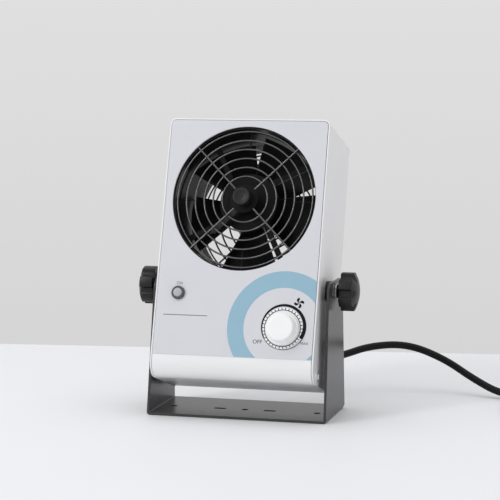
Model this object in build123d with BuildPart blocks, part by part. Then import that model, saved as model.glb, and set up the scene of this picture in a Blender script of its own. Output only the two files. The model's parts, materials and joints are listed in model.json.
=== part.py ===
import os
from math import cos, pi, radians, sin, tan

from build123d import *

os.makedirs("parts", exist_ok=True)

# Fan, guards and emitters, on the fan's axis
fan_side = 120.0
fan_length = 38.0
fan_hole_inset = 7.5
fan_hole_pitch = fan_side - 2 * fan_hole_inset
fan_rim = 2.2
fan_bore = fan_side / 2 - fan_rim
fan_wall = 1.7
fan_flange = 6.5
fan_corner = 5.0
hub_radius = fan_side / 5
hub_wall = 2.0
blade_count = 5
blade_phase = 53.0
blade_front_inset = 6.0
blade_depth = 27.0
strut_count = 4
strut_phase = 27.0
strut_offset = 6.0
strut_width = 4.5
mount_disc = 3.0
stator_room = 5.0
stator_radius = hub_radius - stator_room
shaft_radius = 2.5
bearing_radius = 4.0
bearing_length = 4.0
opening_rim = 1.7
front_opening = fan_bore + opening_rim
rear_lip = 0.3
rear_opening = fan_bore - rear_lip
spoke_wire = 1.8
ring_wire = 1.7
weld_sink = 0.35
ring_count = 6
ring_first = 18.8
ring_margin = 1.5
ring_pitch = (fan_bore - ring_margin - ring_first) / (ring_count - 1)
guard_disc_radius = 11.6
guard_disc_thickness = 1.6
emitter_length = 13.5
emitter_rim = 0.7
emitter_bore = fan_bore + emitter_rim
needle_radius = 0.6
needle_reach = 17.8
needle_tip = fan_bore - needle_reach
needle_point = 4.0
needle_count = 4

# Housing round the fan, measured from the pivot
rest_tilt = 17.5
fan_side_room = 7.0
fan_top_room = 6.0
fan_over_pivot = 8.0
fan_height = fan_side / 2 + fan_over_pivot
housing_width = fan_side + 2 * fan_side_room
top_reach = fan_height + fan_side / 2 + fan_top_room
bottom_reach = 78.5
front_reach = 31.0
rear_reach = 49.0
housing_depth = front_reach + rear_reach
housing_height = top_reach + bottom_reach
housing_sheet = 1.2
cover_bend = 5.0
tray_bend = 14.0
seam_gap = 0.4
flange_height = 13.0
flange_inset = 11.0
flange_length = housing_depth - 2 * flange_inset
side_screw_inset = 19.0
side_screw_height = 6.9
label_thickness = 0.3
label_over_bend = 3.5
label_bottom = tray_bend + label_over_bend - bottom_reach

# Bracket, folded from one strip of sheet
arm_gap = 5.5
bracket_sheet = 2.0
bracket_width = housing_width + 2 * (arm_gap + bracket_sheet)
bracket_depth = 71.6
bracket_bend = 2.5
left_pull = 3.3
pivot_clearance = 23.1
pivot_height = bottom_reach + pivot_clearance
arm_over_pivot = 8.6
arm_top_width = 50.0
arm_corner = 9.0
base_hole_row = -5.0
base_hole = 5.5
base_hole_inset = 14.0
base_hole_spacing = bracket_width - 2 * base_hole_inset
slot_length = 10.5
slot_width = 4.5
slot_spacing = 42.0

# Cleaning knob and brush
cleaning_knob_radius = 7.1
cleaning_knob_rise = 12.0
cleaner_shaft_radius = 2.0
cleaner_bush_radius = 4.2
brush_arm_width = 5.0
brush_arm_depth = 2.0
brush_length = 6.0
brush_angle = 225.0

# Speed control and indicator on the front panel
dial_edge = 26.6
dial_across = housing_width / 2 - dial_edge
dial_over_label = 23.9
dial_up = label_bottom + dial_over_label
dial_skirt_radius = 13.5
dial_skirt_height = 2.4
dial_base_radius = 11.9
dial_top_radius = 10.9
dial_height = 11.0
dial_flutes = 36
dial_flute_radius = 0.45
pot_body_radius = 8.5
pot_body_depth = 9.0
pot_bush_radius = 3.5
pot_bush_rise = 4.0
pot_shaft_radius = 3.0
pot_nut_flats = 10.0
pot_nut_height = 2.0
lamp_edge = 19.2
lamp_across = lamp_edge - housing_width / 2
lamp_under_fan = 19.0
lamp_up = fan_over_pivot - lamp_under_fan
lamp_bezel_radius = 5.45
lamp_bezel_rise = 2.4
lamp_barrel_radius = 4.0
lamp_barrel_depth = 18.0
lamp_lens_radius = 3.6
lamp_nut_flats = 11.0
lamp_nut_height = 2.5

# Pivot and clamp knobs
stud_radius = 3.0
pivot_nut_flats = 10.0
pivot_nut_length = 6.0
spacer_radius = 8.0
washer_radius = 6.4
washer_thickness = 1.0
knob_hub_radius = 5.5
knob_hub_length = 3.4
knob_radius = 15.6
knob_length = 11.0
knob_lobes = 6
knob_groove_radius = 4.0
knob_groove_depth = 1.7
knob_edge = 1.6
knob_dome_inset = 0.3
knob_dome_radius = knob_radius - knob_groove_depth - knob_edge - knob_dome_inset
knob_dome_rise = 3.4
left_knob_turn = -13.0
stud_in_knob = 9.0

# Electronics in the lower bay
bay_middle = (rear_reach - front_reach) / 2
board_side_room = 72.0
board_depth_room = 36.0
board_size = (housing_width - board_side_room, housing_depth - board_depth_room, 1.6)
board_edge = 12.0
board_setback = 4.0
board_centre = (housing_width / 2 - board_edge - board_size[0] / 2, bay_middle + board_setback)
module_room = 46.0
module_edge = 6.6667
module_gap = 8.6666
module_left = module_edge - housing_width / 2
module_right = board_centre[0] - board_size[0] / 2 - module_gap
module_size = (module_right - module_left, housing_depth - module_room, 38.0)
module_centre = ((module_left + module_right) / 2, bay_middle)
module_tab = 8.0
module_tab_thickness = 2.0
standoff_height = 8.0
standoff_radius = 2.6
board_hole_inset = 4.0
lead_radius = 1.6
lead_clearance = 4.2

# Mains lead
gland_edge = 17.0
gland_across = housing_width / 2 - gland_edge
gland_over_bottom = 36.5
gland_up = gland_over_bottom - bottom_reach
gland_flange_radius = 9.0
gland_flange_thickness = 3.5
gland_root_radius = 6.4
gland_tip_radius = 4.4
gland_reach = 22.0
gland_thread_radius = 6.0
gland_inner_length = 8.0
gland_nut_flats = 16.0
gland_nut_height = 3.0
cord_diameter = 6.2
coil_across_diameters = 12.0
coil_turns_wide = 3
coil_turns_high = 2
coil_from_gland = 205.1
coil_centre = (gland_across + coil_from_gland, 62.9)
tie_thickness = 0.6
tie_width = 8.0
plug_length = 40.0
plug_width = 27.0
plug_height = 20.0
plug_corner = 6.0
plug_neck_radius = 5.0
plug_neck_length = 12.0
plug_gap = 26.0
pin_radius = 2.4
pin_length = 19.0
pin_spacing = 19.0

# Fasteners
screw_radius = 1.5
screw_head_radius = 2.8
screw_head_height = 1.8
screw_slot_width = 0.8
screw_slot_depth = 0.7
screw_length = 6.0
fan_screw_radius = 2.0
fan_screw_head_radius = 3.7
fan_screw_head_height = 2.4
fan_nut_flats = 7.0
fan_nut_height = 3.2

# Clearances
running_gap = 0.05
seat_gap = 0.02
hole_gap = 0.25
body_gap = 0.3
knob_gap = 0.5

# Frames: facing has X across, Y up the panel and Z out of it; side has X to the back and Y up
tilt = radians(rest_tilt)
pivot = Vector(0, 0, pivot_height)
across_dir = Vector(1, 0, 0)
front_dir = Vector(0, -cos(tilt), sin(tilt))
up_dir = Vector(0, sin(tilt), cos(tilt))
facing = Plane(origin=pivot, x_dir=across_dir, z_dir=front_dir)
side = Plane(origin=pivot, x_dir=-front_dir, z_dir=across_dir)


def facing_at(across, up, forward):
    return Plane(origin=facing.from_local_coords((across, up, forward)), x_dir=across_dir, z_dir=front_dir)


def section_at(across, up, forward):
    return Plane(origin=facing.from_local_coords((across, up, forward)), x_dir=across_dir, z_dir=-up_dir)


def radial_at(angle, radius, forward):
    turn = radians(angle)
    outward = across_dir * cos(turn) + up_dir * sin(turn)
    start = facing.from_local_coords((0, fan_height, forward)) + outward * radius
    return Plane(origin=start, x_dir=front_dir, z_dir=outward)


def axis_through(across, up):
    return Axis(facing.from_local_coords((across, up, 0)), front_dir)


def hexagon(flats):
    return flats / 2 / cos(pi / 6)


def save(part, name):
    part.part.label = name
    export_step(part.part, f"parts/{name}.step")


fan_axis = axis_through(0, fan_height)
half_pitch = fan_hole_pitch / 2
fan_corners = [(a * half_pitch, b * half_pitch) for a in (-1, 1) for b in (-1, 1)]
hole_pitch_radius = Vector(half_pitch, half_pitch).length

# Bracket, its left arm drawn in by the clamp that holds the tilt
arm_top = pivot_height + arm_over_pivot
arm_middle = (bracket_width - bracket_sheet) / 2
arm_outer = bracket_width / 2
arm_inner = arm_outer - bracket_sheet
left_top = left_pull * arm_top / pivot_height - arm_middle

with BuildPart() as mounting_bracket:
    with BuildSketch(Plane.XZ):
        with BuildLine():
            FilletPolyline(
                (left_top, arm_top),
                (-arm_middle, bracket_sheet / 2),
                (arm_middle, bracket_sheet / 2),
                (arm_middle, arm_top),
                radius=bracket_bend - bracket_sheet / 2,
            )
        trace(line_width=bracket_sheet)
    extrude(amount=bracket_depth / 2, both=True)
    with BuildSketch(Plane.YZ):
        with BuildLine():
            FilletPolyline(
                (-bracket_depth / 2, 0),
                (bracket_depth / 2, 0),
                (arm_top_width / 2, arm_top),
                (-arm_top_width / 2, arm_top),
                radius=(0, 0, arm_corner, arm_corner),
                close=True,
            )
        make_face()
    extrude(amount=bracket_width, both=True, mode=Mode.INTERSECT)
    with BuildSketch(Plane.YZ):
        with Locations((0, pivot_height)):
            Circle(stud_radius + hole_gap)
    extrude(amount=bracket_width, both=True, mode=Mode.SUBTRACT)
    with BuildSketch(Plane.XY):
        with Locations((0, base_hole_row)):
            Circle(base_hole / 2)
            with GridLocations(base_hole_spacing, 0, 2, 1):
                Circle(base_hole / 2)
            with GridLocations(slot_spacing, 0, 2, 1):
                SlotOverall(slot_length, slot_width)
    extrude(amount=bracket_sheet, mode=Mode.SUBTRACT)
save(mounting_bracket, "mounting_bracket")

# Chassis: front panel, bottom and rear panel in one fold
panel_half = housing_width / 2 - housing_sheet - seam_gap
panel_top = top_reach - housing_sheet - seam_gap
panel_corner = cover_bend - housing_sheet - seam_gap
panel_inner = front_reach - housing_sheet
rear_inner = rear_reach - housing_sheet
floor_inner = -bottom_reach + housing_sheet
side_screw_up = -bottom_reach + side_screw_height
side_screw_backs = (-front_reach + side_screw_inset, rear_reach - side_screw_inset)

with BuildPart() as chassis:
    with BuildSketch(side):
        with BuildLine():
            FilletPolyline(
                (-front_reach + housing_sheet / 2, panel_top),
                (-front_reach + housing_sheet / 2, -bottom_reach + housing_sheet / 2),
                (rear_reach - housing_sheet / 2, -bottom_reach + housing_sheet / 2),
                (rear_reach - housing_sheet / 2, panel_top),
                radius=tray_bend - housing_sheet / 2,
            )
        trace(line_width=housing_sheet)
    extrude(amount=panel_half, both=True)
    with BuildSketch(facing_at(0, 0, -rear_reach)) as panel_outline:
        with Locations((0, (panel_top - bottom_reach) / 2)):
            Rectangle(2 * panel_half, panel_top + bottom_reach)
        fillet(panel_outline.vertices().sort_by(Axis.Y)[-2:], panel_corner)
    extrude(amount=front_reach + rear_reach, mode=Mode.INTERSECT)
    for inner in (panel_half - housing_sheet, -panel_half):
        with BuildSketch(side.offset(inner)):
            with Locations((bay_middle, -bottom_reach + flange_height / 2)):
                Rectangle(flange_length, flange_height)
        extrude(amount=housing_sheet)
    with BuildSketch(side):
        with Locations(*[(back, side_screw_up) for back in side_screw_backs]):
            Circle(screw_radius + seat_gap)
    extrude(amount=housing_width, both=True, mode=Mode.SUBTRACT)
    with BuildSketch(facing_at(0, 0, panel_inner)):
        with Locations((0, fan_height)):
            Circle(front_opening)
        with Locations((dial_across, dial_up)):
            Circle(pot_bush_radius + hole_gap)
        with Locations((lamp_across, lamp_up)):
            Circle(lamp_barrel_radius + hole_gap)
    extrude(amount=housing_sheet, mode=Mode.SUBTRACT)
    with BuildSketch(facing_at(0, 0, -rear_reach)):
        with Locations((0, fan_height)):
            Circle(rear_opening)
            with Locations(*fan_corners):
                Circle(fan_screw_radius + seat_gap)
        with Locations((gland_across, gland_up)):
            Circle(gland_thread_radius + hole_gap)
    extrude(amount=housing_sheet, mode=Mode.SUBTRACT)
save(chassis, "chassis")

# Cover: two sides and the top in one fold
cover_middle = (housing_width - housing_sheet) / 2
cover_outer = housing_width / 2
cover_inner = cover_outer - housing_sheet

with BuildPart() as cover:
    with BuildSketch(facing_at(0, 0, -rear_reach)):
        with BuildLine():
            FilletPolyline(
                (-cover_middle, -bottom_reach),
                (-cover_middle, top_reach - housing_sheet / 2),
                (cover_middle, top_reach - housing_sheet / 2),
                (cover_middle, -bottom_reach),
                radius=cover_bend - housing_sheet / 2,
            )
        trace(line_width=housing_sheet)
    extrude(amount=housing_depth)
    with BuildSketch(side) as cover_outline:
        with Locations((bay_middle, top_reach - housing_height / 2)):
            Rectangle(housing_depth, housing_height)
        fillet(cover_outline.vertices().sort_by(Axis.Y)[:2], tray_bend)
    extrude(amount=housing_width, both=True, mode=Mode.INTERSECT)
    with BuildSketch(side):
        Circle(stud_radius + hole_gap)
        with Locations(*[(back, side_screw_up) for back in side_screw_backs]):
            Circle(screw_radius + hole_gap)
    extrude(amount=housing_width, both=True, mode=Mode.SUBTRACT)
save(cover, "cover")

with BuildPart() as side_screws:
    for outward in (-1, 1):
        with BuildSketch(side.offset(outward * cover_outer)):
            with Locations(*[(back, side_screw_up) for back in side_screw_backs]):
                Circle(screw_head_radius)
        extrude(amount=outward * screw_head_height)
        with BuildSketch(side.offset(outward * cover_outer)):
            with Locations(*[(back, side_screw_up) for back in side_screw_backs]):
                Circle(screw_radius)
        extrude(amount=-outward * screw_length)
        with BuildSketch(side.offset(outward * (cover_outer + screw_head_height))):
            with Locations(*[(back, side_screw_up) for back in side_screw_backs]):
                Rectangle(screw_head_radius, screw_slot_width)
                Rectangle(screw_slot_width, screw_head_radius)
        extrude(amount=-outward * screw_slot_depth, mode=Mode.SUBTRACT)
save(side_screws, "side_screws")

label_face = front_reach + label_thickness

with BuildPart() as front_label:
    with BuildSketch(facing_at(0, 0, front_reach)) as label_outline:
        with Locations((0, (label_bottom + panel_top) / 2)):
            Rectangle(2 * panel_half, panel_top - label_bottom)
        fillet(label_outline.vertices().sort_by(Axis.Y)[-2:], panel_corner)
        with Locations((0, fan_height)):
            Circle(front_opening, mode=Mode.SUBTRACT)
        with Locations((dial_across, dial_up)):
            Circle(pot_bush_radius + hole_gap, mode=Mode.SUBTRACT)
        with Locations((lamp_across, lamp_up)):
            Circle(lamp_barrel_radius + hole_gap, mode=Mode.SUBTRACT)
    extrude(amount=label_thickness)
save(front_label, "front_label")

# Wire guards: rings welded behind four spokes that end in eyelets, with a disc in the middle
spoke_forward = panel_inner - spoke_wire / 2
spoke_to_ring = (spoke_wire + ring_wire) / 2 - weld_sink
ring_forward = spoke_forward - spoke_to_ring
ring_radii = [ring_first + ring_pitch * i for i in range(ring_count)]
spoke_angles = (45, 135, 225, 315)
spoke_start = cleaner_bush_radius + spoke_wire
spoke_end = hole_pitch_radius - fan_screw_radius - hole_gap - spoke_wire / 2
eyelet_outer = fan_screw_radius + hole_gap + spoke_wire
eyelet_thickness = 0.8 * spoke_wire
rear_spoke_forward = -rear_reach - spoke_wire / 2

for name, guard_forward in (("front_guard", spoke_forward), ("rear_guard", rear_spoke_forward)):
    with BuildPart() as guard:
        with BuildSketch(section_at(0, fan_height, guard_forward - spoke_to_ring)):
            with Locations(*[(radius, 0) for radius in ring_radii]):
                RegularPolygon(ring_wire / 2, 6)
        revolve(axis=fan_axis)
        for angle in spoke_angles:
            with BuildSketch(radial_at(angle, spoke_start, guard_forward)):
                Circle(spoke_wire / 2)
            extrude(amount=spoke_end - spoke_start)
        with BuildSketch(facing_at(0, fan_height, guard_forward - eyelet_thickness / 2)):
            with Locations(*fan_corners):
                Circle(eyelet_outer)
                Circle(fan_screw_radius + hole_gap, mode=Mode.SUBTRACT)
        extrude(amount=eyelet_thickness)
        with BuildSketch(facing_at(0, fan_height, guard_forward - guard_disc_thickness / 2)):
            Circle(guard_disc_radius)
        extrude(amount=guard_disc_thickness)
        with BuildSketch(facing_at(0, fan_height, guard_forward - spoke_wire)):
            Circle(cleaner_bush_radius + seat_gap)
        extrude(amount=2 * spoke_wire, mode=Mode.SUBTRACT)
    save(guard, name)

rear_head = rear_spoke_forward - spoke_wire / 2

with BuildPart() as rear_guard_screws:
    with BuildSketch(facing_at(0, fan_height, rear_head)):
        with Locations(*fan_corners):
            Circle(fan_screw_head_radius)
    extrude(amount=-fan_screw_head_height)
    with BuildSketch(facing_at(0, fan_height, rear_head)):
        with Locations(*fan_corners):
            Circle(fan_screw_radius)
    extrude(amount=spoke_wire + screw_length)
    with BuildSketch(facing_at(0, fan_height, rear_head - fan_screw_head_height)):
        with Locations(*fan_corners):
            Rectangle(fan_screw_head_radius, screw_slot_width)
            Rectangle(screw_slot_width, fan_screw_head_radius)
    extrude(amount=screw_slot_depth, mode=Mode.SUBTRACT)
save(rear_guard_screws, "rear_guard_screws")

# Emitter ring between guard and fan
emitter_front = spoke_forward - spoke_wire / 2
emitter_rear = emitter_front - emitter_length
needle_forward = emitter_front - emitter_length / 2
needle_angles = [360 / needle_count * i for i in range(needle_count)]
needle_root = fan_side / 2
needle_length = needle_root - needle_tip

with BuildPart() as emitter_ring:
    with BuildSketch(facing_at(0, fan_height, emitter_rear)):
        RectangleRounded(fan_side, fan_side, fan_corner)
        Circle(emitter_bore, mode=Mode.SUBTRACT)
        with Locations(*fan_corners):
            Circle(fan_screw_radius + hole_gap, mode=Mode.SUBTRACT)
    extrude(amount=emitter_length)
    for angle in needle_angles:
        with BuildSketch(radial_at(angle, needle_tip, needle_forward)):
            Circle(needle_radius + seat_gap)
        extrude(amount=needle_length, mode=Mode.SUBTRACT)
save(emitter_ring, "emitter_ring")

with BuildPart() as emitter_needles:
    for angle in needle_angles:
        with BuildSketch(radial_at(angle, needle_root, needle_forward)):
            Circle(needle_radius)
        extrude(amount=needle_point - needle_length)
        point_base = radial_at(angle, needle_tip + needle_point, needle_forward)
        with BuildSketch(point_base):
            Circle(needle_radius)
        with BuildSketch(radial_at(angle, needle_tip, needle_forward)):
            Circle(needle_radius / 6)
        loft()
save(emitter_needles, "emitter_needles")

# Fan
fan_front = emitter_rear
fan_rear = fan_front - fan_length
mount_back = fan_front - mount_disc
bearing_front = fan_front - mount_disc
hub_front = mount_back - body_gap
hub_rear = fan_rear + hub_wall
tube_rear = hub_rear + 2 * hub_wall
tube_radius = bearing_radius + hub_wall
duct_outer = fan_bore + fan_wall

with BuildPart() as fan_frame:
    with BuildSketch(facing_at(0, fan_height, fan_rear)):
        Circle(duct_outer)
    extrude(amount=fan_length)
    for start in (fan_rear, fan_front - fan_flange):
        with BuildSketch(facing_at(0, fan_height, start)):
            RectangleRounded(fan_side, fan_side, fan_corner)
            with Locations(*fan_corners):
                Circle(fan_screw_radius + hole_gap, mode=Mode.SUBTRACT)
        extrude(amount=fan_flange)
    with BuildSketch(facing_at(0, fan_height, fan_rear)):
        Circle(fan_bore)
    extrude(amount=fan_length, mode=Mode.SUBTRACT)
    with BuildSketch(facing_at(0, fan_height, mount_back)):
        Circle(hub_radius)
    extrude(amount=mount_disc)
    strut_inner = hub_radius - hub_wall
    strut_outer = fan_bore + fan_wall / 2
    with BuildSketch(facing_at(0, fan_height, mount_back)):
        with PolarLocations(0, strut_count, start_angle=strut_phase):
            with Locations(((strut_inner + strut_outer) / 2, strut_offset)):
                Rectangle(strut_outer - strut_inner, strut_width)
    extrude(amount=mount_disc)
    with BuildSketch(facing_at(0, fan_height, tube_rear)):
        Circle(tube_radius)
    extrude(amount=mount_back - tube_rear)
    with BuildSketch(facing_at(0, fan_height, tube_rear)):
        Circle(bearing_radius + seat_gap)
    extrude(amount=fan_front - tube_rear, mode=Mode.SUBTRACT)
save(fan_frame, "fan_frame")

with BuildPart() as fan_stator:
    with BuildSketch(facing_at(0, fan_height, tube_rear + hub_wall)):
        Circle(stator_radius)
        Circle(tube_radius + seat_gap, mode=Mode.SUBTRACT)
    extrude(amount=mount_back - tube_rear - hub_wall)
save(fan_stator, "fan_stator")

with BuildPart() as fan_bearings:
    for start in (tube_rear, fan_front - bearing_length):
        with BuildSketch(facing_at(0, fan_height, start)):
            Circle(bearing_radius)
            Circle(shaft_radius + running_gap, mode=Mode.SUBTRACT)
        extrude(amount=bearing_length)
save(fan_bearings, "fan_bearings")

with BuildPart() as fan_shaft:
    with BuildSketch(facing_at(0, fan_height, fan_rear + hub_wall)):
        Circle(shaft_radius)
    extrude(amount=fan_length - hub_wall - body_gap)
save(fan_shaft, "fan_shaft")

# Impeller: cambered blades lofted from a steep root to a flat tip, trimmed to the hub and the duct
blade_root = hub_radius - 2 * hub_wall
blade_tip = fan_bore + fan_wall
blade_forward = fan_front - blade_front_inset - blade_depth / 2
blade_sections = ((blade_root, -24.0, 2.6, -2.0), (blade_tip, -62.0, 1.6, -5.0))
tip_gap = 1.6

with BuildPart() as impeller:
    for index in range(blade_count):
        for radius, spread, thickness, camber in blade_sections:
            with BuildSketch(radial_at(blade_phase + 360 / blade_count * index, radius, blade_forward)):
                nose = Vector(blade_depth / 2, spread / 2)
                normal = Vector(-spread, blade_depth).normalized()
                half = normal * thickness / 2
                with BuildLine():
                    upper = ThreePointArc(-nose + half, normal * camber + half, nose + half)
                    lower = ThreePointArc(-nose - half, normal * camber - half, nose - half)
                    Line(upper @ 0, lower @ 0)
                    Line(upper @ 1, lower @ 1)
                make_face()
        loft()
    with BuildSketch(facing_at(0, fan_height, fan_rear)):
        Circle(fan_bore - tip_gap)
        Circle(hub_radius - hub_wall / 2, mode=Mode.SUBTRACT)
    extrude(amount=fan_length, mode=Mode.INTERSECT)
    with BuildSketch(facing_at(0, fan_height, fan_rear)):
        Circle(hub_radius)
        Circle(shaft_radius + seat_gap, mode=Mode.SUBTRACT)
    extrude(amount=hub_front - fan_rear)
    with BuildSketch(facing_at(0, fan_height, hub_rear + hub_wall)):
        Circle(hub_radius - hub_wall)
    extrude(amount=hub_front - hub_rear - hub_wall, mode=Mode.SUBTRACT)
save(impeller, "impeller")

nut_front = fan_rear

with BuildPart() as fan_studs:
    with BuildSketch(facing_at(0, fan_height, nut_front - 2 * fan_nut_height)):
        with Locations(*fan_corners):
            Circle(fan_screw_radius)
    extrude(amount=panel_inner - nut_front + 2 * fan_nut_height)
save(fan_studs, "fan_studs")

with BuildPart() as fan_nuts:
    with BuildSketch(facing_at(0, fan_height, nut_front - fan_nut_height)):
        with Locations(*fan_corners):
            RegularPolygon(hexagon(fan_nut_flats), 6)
            Circle(fan_screw_radius + seat_gap, mode=Mode.SUBTRACT)
    extrude(amount=fan_nut_height)
save(fan_nuts, "fan_nuts")

# Cleaning knob, its shaft in a bush on the guard's disc, and the brush that passes the needles
disc_front = spoke_forward + guard_disc_thickness / 2
disc_rear = spoke_forward - guard_disc_thickness / 2
bush_front = disc_front + guard_disc_thickness
bush_rear = disc_rear - 2 * guard_disc_thickness
cleaning_knob_back = bush_front + body_gap
cleaning_knob_front = ring_forward + cleaning_knob_rise
brush_forward = needle_forward

with BuildPart() as guard_bush:
    with BuildSketch(facing_at(0, fan_height, bush_rear)):
        Circle(cleaner_bush_radius)
    extrude(amount=bush_front - bush_rear)
    for start in (disc_front, disc_rear - guard_disc_thickness):
        with BuildSketch(facing_at(0, fan_height, start)):
            Circle(cleaner_bush_radius + guard_disc_thickness)
        extrude(amount=guard_disc_thickness)
    with BuildSketch(facing_at(0, fan_height, bush_rear)):
        Circle(cleaner_shaft_radius + running_gap)
    extrude(amount=bush_front - bush_rear, mode=Mode.SUBTRACT)
save(guard_bush, "guard_bush")

with BuildPart() as cleaning_knob:
    with BuildSketch(facing_at(0, fan_height, cleaning_knob_back)):
        Circle(cleaning_knob_radius)
    extrude(amount=cleaning_knob_front - cleaning_knob_back)
    chamfer(cleaning_knob.faces().sort_by(fan_axis)[-1].edges(), knob_edge / 2)
    with BuildSketch(facing_at(0, fan_height, cleaning_knob_back)):
        Circle(cleaner_shaft_radius + seat_gap)
    extrude(amount=(cleaning_knob_front - cleaning_knob_back) / 2, mode=Mode.SUBTRACT)
save(cleaning_knob, "cleaning_knob")

cleaner_shaft_front = (cleaning_knob_front + cleaning_knob_back) / 2
cleaner_shaft_rear = brush_forward - brush_arm_depth

with BuildPart() as cleaner_shaft:
    with BuildSketch(facing_at(0, fan_height, cleaner_shaft_rear)):
        Circle(cleaner_shaft_radius)
    extrude(amount=cleaner_shaft_front - cleaner_shaft_rear)
save(cleaner_shaft, "cleaner_shaft")

brush_outer = needle_tip - body_gap
brush_inner = brush_outer - brush_length
brush_arm_end = brush_inner + brush_arm_depth

with BuildPart() as brush_arm:
    with BuildSketch(facing_at(0, fan_height, brush_forward - brush_arm_depth / 2)):
        with PolarLocations(0, 1, start_angle=brush_angle):
            with Locations((brush_arm_end / 2, 0)):
                SlotOverall(brush_arm_end + brush_arm_width, brush_arm_width)
            Circle(cleaner_shaft_radius + brush_arm_depth)
        Circle(cleaner_shaft_radius + seat_gap, mode=Mode.SUBTRACT)
    extrude(amount=brush_arm_depth)
    with BuildSketch(radial_at(brush_angle, brush_inner, brush_forward)):
        Circle(brush_arm_depth / 4 + seat_gap)
    extrude(amount=brush_length, mode=Mode.SUBTRACT)
save(brush_arm, "brush_arm")

with BuildPart() as brush:
    with BuildSketch(radial_at(brush_angle, brush_inner, brush_forward)):
        Circle(brush_arm_depth / 4)
    extrude(amount=brush_length)
save(brush, "brush")

# Speed control
pot_bush_front = label_face + pot_bush_rise
pot_shaft_rear = panel_inner - pot_body_depth / 2
dial_back = label_face + knob_gap
dial_front = label_face + dial_height
dial_shaft_front = dial_back + dial_height * 0.8

with BuildPart() as speed_pot:
    with BuildSketch(facing_at(dial_across, dial_up, panel_inner)):
        Circle(pot_body_radius)
    extrude(amount=-pot_body_depth)
    with BuildSketch(facing_at(dial_across, dial_up, panel_inner)):
        Circle(pot_bush_radius)
    extrude(amount=pot_bush_front - panel_inner)
    with BuildSketch(facing_at(dial_across, dial_up, pot_shaft_rear)):
        Circle(pot_shaft_radius + running_gap)
    extrude(amount=pot_bush_front - pot_shaft_rear, mode=Mode.SUBTRACT)
    with BuildSketch(facing_at(dial_across, dial_up, panel_inner - pot_body_depth)):
        with Locations((0, -pot_body_radius)):
            with GridLocations(pot_shaft_radius * 1.6, 0, 3, 1):
                Rectangle(pot_shaft_radius / 2, pot_body_radius)
    extrude(amount=label_thickness * 2)
save(speed_pot, "speed_pot")

with BuildPart() as pot_nut:
    with BuildSketch(facing_at(dial_across, dial_up, label_face)):
        RegularPolygon(hexagon(pot_nut_flats), 6)
        Circle(pot_bush_radius + seat_gap, mode=Mode.SUBTRACT)
    extrude(amount=pot_nut_height)
save(pot_nut, "pot_nut")

with BuildPart() as pot_shaft:
    with BuildSketch(facing_at(dial_across, dial_up, pot_shaft_rear + body_gap)):
        Circle(pot_shaft_radius)
    extrude(amount=dial_shaft_front - pot_shaft_rear - body_gap)
save(pot_shaft, "pot_shaft")

dial_pocket = hexagon(pot_nut_flats) + knob_gap

with BuildPart() as speed_knob:
    with BuildSketch(facing_at(dial_across, dial_up, dial_back)):
        Circle(dial_skirt_radius)
        with PolarLocations(dial_skirt_radius, dial_flutes):
            Circle(dial_flute_radius, mode=Mode.SUBTRACT)
    extrude(amount=dial_skirt_height)
    with BuildSketch(facing_at(dial_across, dial_up, dial_back + dial_skirt_height)):
        Circle(dial_base_radius)
    with BuildSketch(facing_at(dial_across, dial_up, dial_front)):
        Circle(dial_top_radius)
    loft()
    fillet(speed_knob.faces().sort_by(fan_axis)[-1].edges(), knob_edge / 2)
    with BuildSketch(facing_at(dial_across, dial_up, dial_back)):
        Circle(dial_pocket)
    extrude(amount=pot_bush_rise, mode=Mode.SUBTRACT)
    with BuildSketch(facing_at(dial_across, dial_up, dial_back)):
        Circle(pot_shaft_radius + seat_gap)
    extrude(amount=dial_shaft_front - dial_back, mode=Mode.SUBTRACT)
save(speed_knob, "speed_knob")

# Indicator light
with BuildPart() as indicator_bezel:
    with BuildSketch(facing_at(lamp_across, lamp_up, label_face)):
        Circle(lamp_bezel_radius)
    extrude(amount=lamp_bezel_rise)
    chamfer(indicator_bezel.faces().sort_by(fan_axis)[-1].edges(), knob_edge / 2)
    with BuildSketch(facing_at(lamp_across, lamp_up, label_face)):
        Circle(lamp_barrel_radius)
    extrude(amount=-lamp_barrel_depth)
    with BuildSketch(facing_at(lamp_across, lamp_up, label_face + lamp_bezel_rise)):
        Circle(lamp_lens_radius + seat_gap)
    extrude(amount=-lamp_bezel_rise - lamp_barrel_radius, mode=Mode.SUBTRACT)
save(indicator_bezel, "indicator_bezel")

with BuildPart() as indicator_lens:
    with BuildSketch(facing_at(lamp_across, lamp_up, label_face - lamp_barrel_radius)):
        Circle(lamp_lens_radius)
    extrude(amount=lamp_bezel_rise + lamp_barrel_radius + knob_edge)
    fillet(indicator_lens.faces().sort_by(fan_axis)[-1].edges(), knob_edge)
save(indicator_lens, "indicator_lens")

with BuildPart() as indicator_nut:
    with BuildSketch(facing_at(lamp_across, lamp_up, panel_inner)):
        RegularPolygon(hexagon(lamp_nut_flats), 6)
        Circle(lamp_barrel_radius + seat_gap, mode=Mode.SUBTRACT)
    extrude(amount=-lamp_nut_height)
save(indicator_nut, "indicator_nut")

# Pivot: nuts inside the cover, spacers between cover and arms
right_spacer = arm_inner - cover_outer - body_gap
left_spacer = right_spacer - left_pull
pivot_nut_end = cover_inner - pivot_nut_length

with BuildPart() as pivot_nuts:
    for start in (-cover_inner, pivot_nut_end):
        with BuildSketch(side.offset(start)):
            RegularPolygon(hexagon(pivot_nut_flats), 6)
            Circle(stud_radius + running_gap, mode=Mode.SUBTRACT)
        extrude(amount=pivot_nut_length)
save(pivot_nuts, "pivot_nuts")

with BuildPart() as pivot_spacers:
    for start, length in ((-cover_outer, -left_spacer), (cover_outer, right_spacer)):
        with BuildSketch(side.offset(start)):
            Circle(spacer_radius)
            Circle(stud_radius + body_gap, mode=Mode.SUBTRACT)
        extrude(amount=length)
save(pivot_spacers, "pivot_spacers")

# Clamp knobs, one on each arm
groove_centre = knob_radius + knob_groove_radius - knob_groove_depth

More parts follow.
